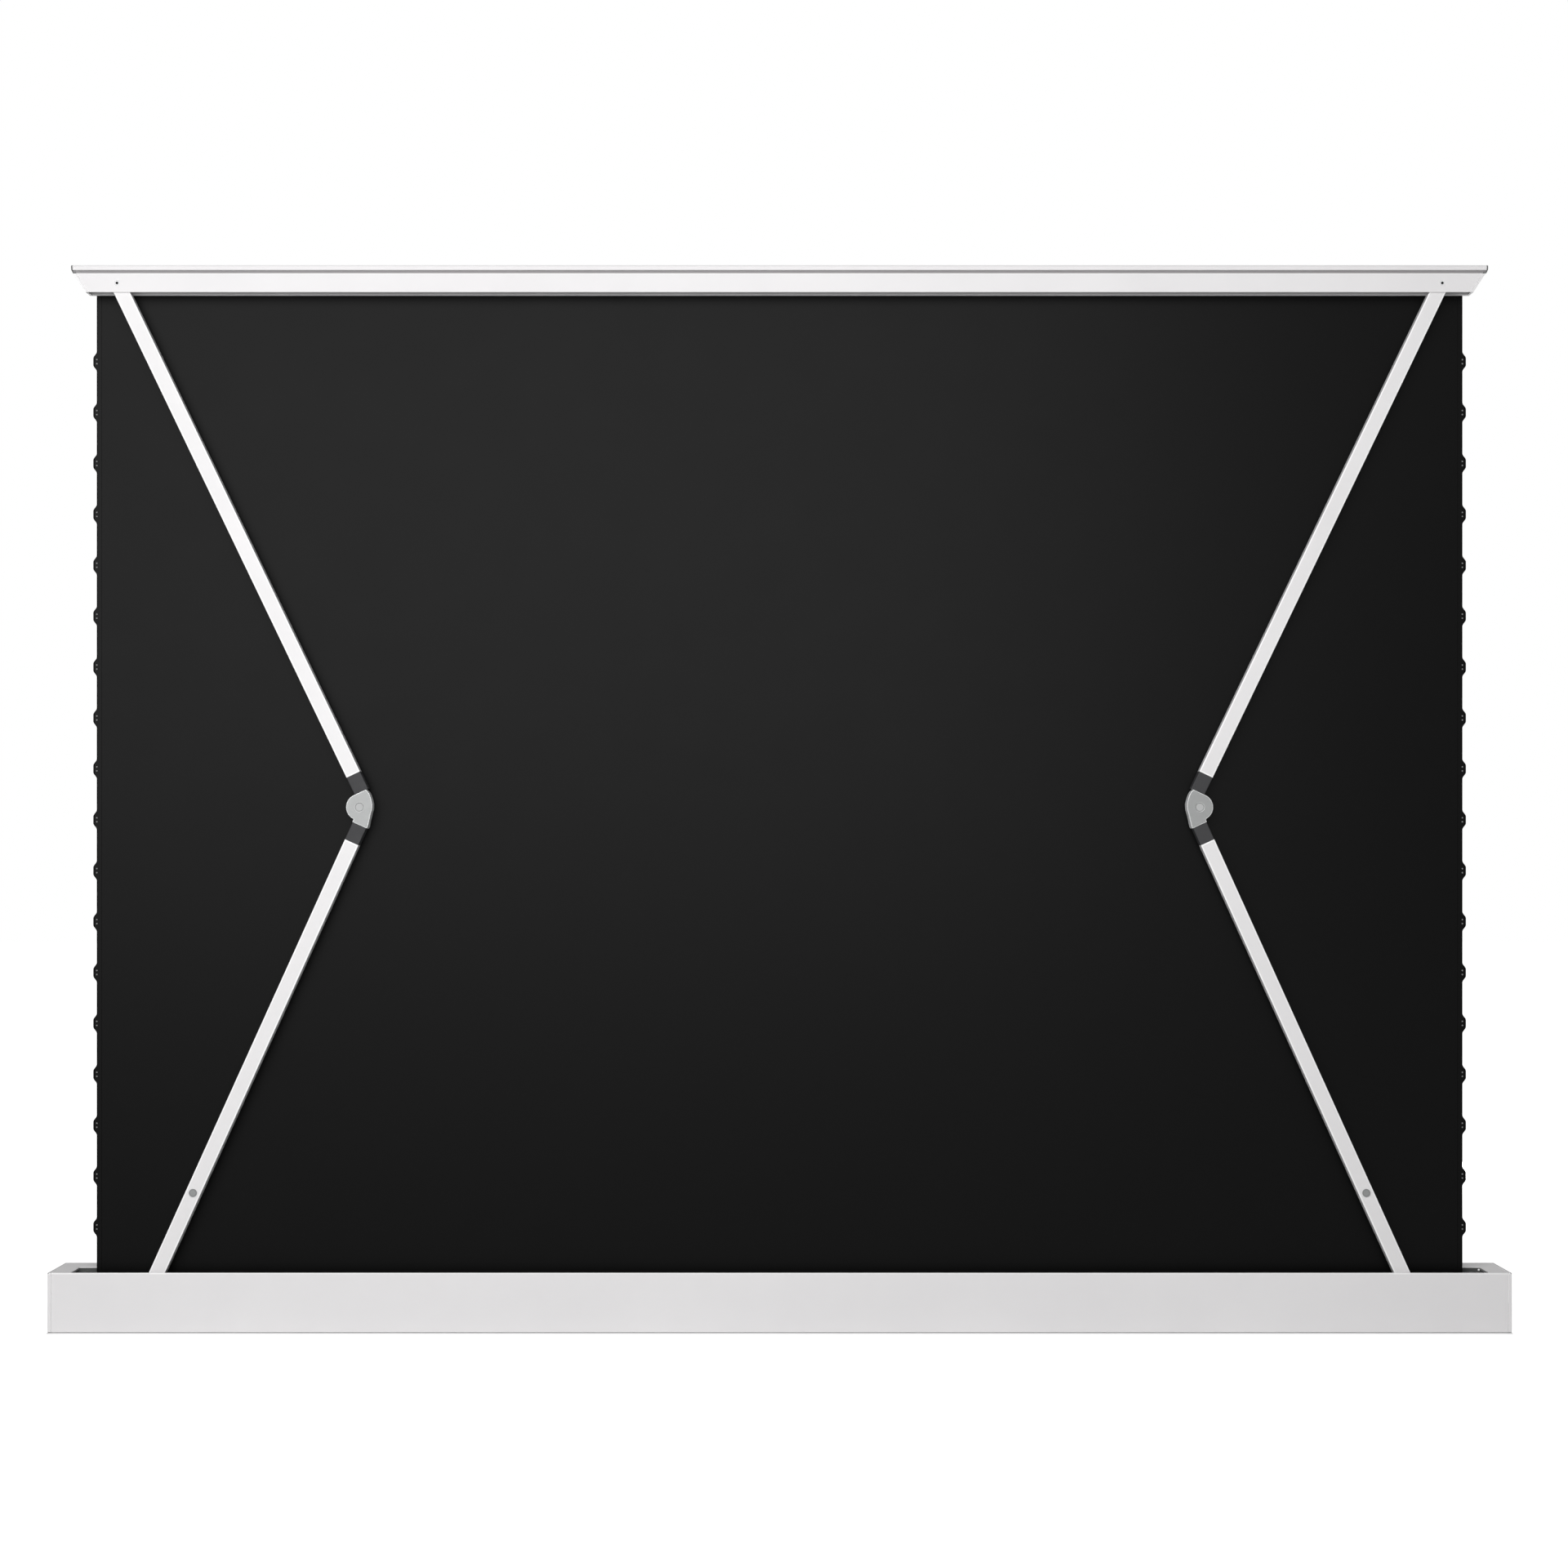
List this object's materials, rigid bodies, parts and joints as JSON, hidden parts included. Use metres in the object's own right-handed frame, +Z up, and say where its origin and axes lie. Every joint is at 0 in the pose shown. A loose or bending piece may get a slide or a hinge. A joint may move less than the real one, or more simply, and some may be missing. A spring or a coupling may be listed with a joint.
{
  "type": "floor-rising projector screen",
  "caption": "Tall framed sheet on two folding elbow arms that rises from a long low floor housing, shown fully raised, with a slanted-end top bar that closes the slot.",
  "frame": {"origin": "middle of the housing's underside, on the floor", "axes": "+X along the housing to its right end as seen from the rear, +Y towards the viewing side, +Z up"},
  "size_m": [2.44, 0.16, 1.7793],
  "materials": {
    "white_aluminium": "satin",
    "white_tube": "satin",
    "silver_cast": "satin",
    "dark_collar": "satin",
    "screen_sheet": "matte",
    "black_tape": "matte",
    "steel": "satin",
    "zinc_plate": "satin",
    "bare_aluminium": "satin",
    "black_plastic": "satin",
    "dark_window": "gloss",
    "rubber": "matte"
  },
  "bodies": {
    "housing": {"base_tray": "white_aluminium", "top_cover": "white_aluminium", "housing_end_left": "white_aluminium", "housing_end_right": "white_aluminium", "foot_pad_rear_left": "rubber", "foot_pad_rear_right": "rubber", "foot_pad_front_left": "rubber", "foot_pad_front_right": "rubber", "power_inlet": "black_plastic", "ir_window": "dark_window", "control_box": "black_plastic", "roller_bracket_left": "zinc_plate", "roller_bracket_right": "zinc_plate", "roller_motor": "steel", "base_bracket_left": "zinc_plate", "base_bracket_right": "zinc_plate", "base_pin_left": "steel", "base_pin_right": "steel", "screen_fabric": "screen_sheet", "edge_tape_left": "black_tape", "edge_tape_right": "black_tape"},
    "push_button": {"push_button": "black_plastic"},
    "roller": {"roller_tube": "bare_aluminium", "roller_idler_plug": "black_plastic", "drive_crown": "black_plastic", "motor_ring": "black_plastic"},
    "lower_arm_left": {"base_fitting_left": "silver_cast", "lower_tube_left": "white_tube", "lower_collar_left": "dark_collar", "elbow_clevis_left": "silver_cast", "elbow_pin_left": "silver_cast", "anchor_pin_left": "steel", "spring_cylinder_left": "steel", "lift_cable_left": "steel"},
    "spring_rod_left": {"spring_rod_left": "bare_aluminium"},
    "upper_arm_left": {"elbow_tongue_left": "silver_cast", "upper_collar_left": "dark_collar", "upper_tube_left": "white_tube", "top_fitting_left": "silver_cast"},
    "lower_arm_right": {"base_fitting_right": "silver_cast", "lower_tube_right": "white_tube", "lower_collar_right": "dark_collar", "elbow_clevis_right": "silver_cast", "elbow_pin_right": "silver_cast", "anchor_pin_right": "steel", "spring_cylinder_right": "steel", "lift_cable_right": "steel"},
    "spring_rod_right": {"spring_rod_right": "bare_aluminium"},
    "upper_arm_right": {"elbow_tongue_right": "silver_cast", "upper_collar_right": "dark_collar", "upper_tube_right": "white_tube", "top_fitting_right": "silver_cast"},
    "top_bar": {"top_bar_cover": "white_aluminium", "clamp_rail": "white_aluminium", "clamp_strip": "zinc_plate", "bar_end_left": "white_aluminium", "bar_end_right": "white_aluminium", "top_pin_left": "steel", "top_pin_right": "steel"}
  },
  "joints": [
    {"name": "base_fold_left", "type": "hinge", "parent": "housing", "child": "lower_arm_left", "pos_m": [-1.074, -0.056, 0.022], "axis": [0, 1, 0], "range_deg": [0, 64.97], "deforming": ["screen_fabric", "edge_tape_left", "edge_tape_right", "lift_cable_left", "lift_cable_right"]},
    {"name": "knee_fold_left", "type": "hinge", "parent": "lower_arm_left", "child": "upper_arm_left", "pos_m": [-0.701, -0.056, 0.87597], "axis": [0, 1, 0], "range_deg": [-128.8, 0]},
    {"name": "bar_level", "type": "hinge", "parent": "upper_arm_left", "child": "top_bar", "pos_m": [-1.105, -0.056, 1.75], "axis": [0, 1, 0], "range_deg": [0, 63.8]},
    {"name": "base_fold_right", "type": "hinge", "parent": "housing", "child": "lower_arm_right", "pos_m": [1.074, -0.056, 0.022], "axis": [0, 1, 0], "range_deg": [-65.1, 0]},
    {"name": "knee_fold_right", "type": "hinge", "parent": "lower_arm_right", "child": "upper_arm_right", "pos_m": [0.701, -0.056, 0.87597], "axis": [0, 1, 0], "range_deg": [0, 128.8]},
    {"name": "roller_spin", "type": "hinge", "parent": "housing", "child": "roller", "pos_m": [0, -0.0035, 0.037], "axis": [1, 0, 0], "range_deg": [0, 3450]},
    {"name": "spring_slide_left", "type": "slide", "parent": "lower_arm_left", "child": "spring_rod_left", "axis": [0.4122, 0, 0.9111], "range_m": [0, 0.0275]},
    {"name": "spring_slide_right", "type": "slide", "parent": "lower_arm_right", "child": "spring_rod_right", "axis": [-0.4122, 0, 0.9111], "range_m": [0, 0.0275]},
    {"name": "button_press", "type": "slide", "parent": "housing", "child": "push_button", "axis": [-1, 0, 0], "range_m": [0, 0.002], "stiffness_N_per_m": 300}
  ],
  "couplings": [
    {"joint": "knee_fold_left", "follows": "base_fold_left", "ratio": -1.98},
    {"joint": "bar_level", "follows": "base_fold_left", "ratio": 0.98},
    {"joint": "base_fold_right", "follows": "base_fold_left", "ratio": -1},
    {"joint": "knee_fold_right", "follows": "base_fold_left", "ratio": 1.98},
    {"joint": "roller_spin", "follows": "base_fold_left", "ratio": 52.9},
    {"joint": "spring_slide_left", "follows": "base_fold_left", "m_per_rad": 0.024156},
    {"joint": "spring_slide_right", "follows": "base_fold_left", "m_per_rad": 0.024156}
  ]
}
